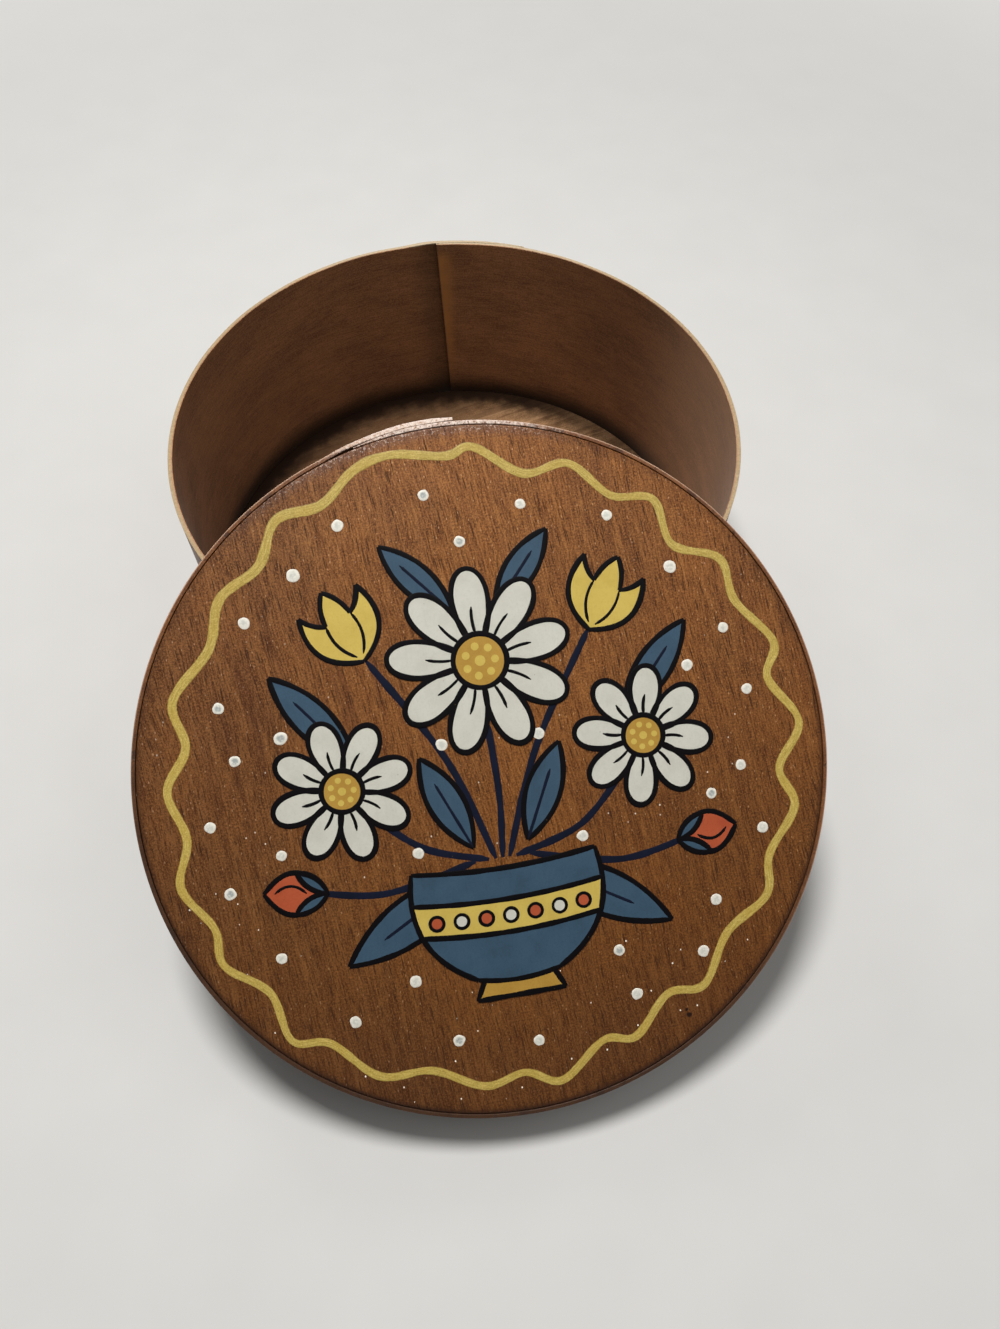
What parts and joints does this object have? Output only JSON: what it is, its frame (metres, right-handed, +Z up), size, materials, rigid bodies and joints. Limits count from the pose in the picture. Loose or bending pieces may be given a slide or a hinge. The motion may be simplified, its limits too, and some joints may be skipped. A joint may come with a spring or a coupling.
{
  "type": "round wooden box",
  "caption": "Round bentwood box with lapped walls, open, its flush-panelled lid leaning on the front rim; holds keepsakes and small things.",
  "frame": {"origin": "centre of the base's underside, on the surface that the box stands on", "axes": "+Z up along the base's axis; -Y is the front, where the lid leans; +X is to the right seen from the front"},
  "size_m": [0.2049, 0.312, 0.1235],
  "materials": {
    "stained_floor": "thin light brown stain, satin",
    "stained_wall": "dark brown stain, satin varnish, bare rim",
    "stained_lid_panel": "reddish brown stain, open pores, satin varnish",
    "stained_lid_wall": "brown stain, satin varnish, paler edge",
    "brad_steel": "plain"
  },
  "bodies": {
    "base": {"base_floor": "stained_floor", "base_band": "stained_wall", "base_brad_1": "brad_steel", "base_brad_2": "brad_steel", "base_brad_3": "brad_steel", "base_brad_4": "brad_steel", "base_brad_5": "brad_steel", "base_brad_6": "brad_steel", "base_brad_7": "brad_steel", "base_brad_8": "brad_steel"},
    "lid": {"lid_panel": "stained_lid_panel", "lid_band": "stained_lid_wall", "lid_brad_1": "brad_steel", "lid_brad_2": "brad_steel", "lid_brad_3": "brad_steel", "lid_brad_4": "brad_steel", "lid_brad_5": "brad_steel", "lid_brad_6": "brad_steel", "lid_brad_7": "brad_steel", "lid_brad_8": "brad_steel"}
  },
  "joints": [
    {"name": "lid_lift", "type": "slide", "parent": "base", "child": "lid", "axis": [0.0588, -0.5081, 0.8593], "range_m": [0, 0.12]}
  ]
}
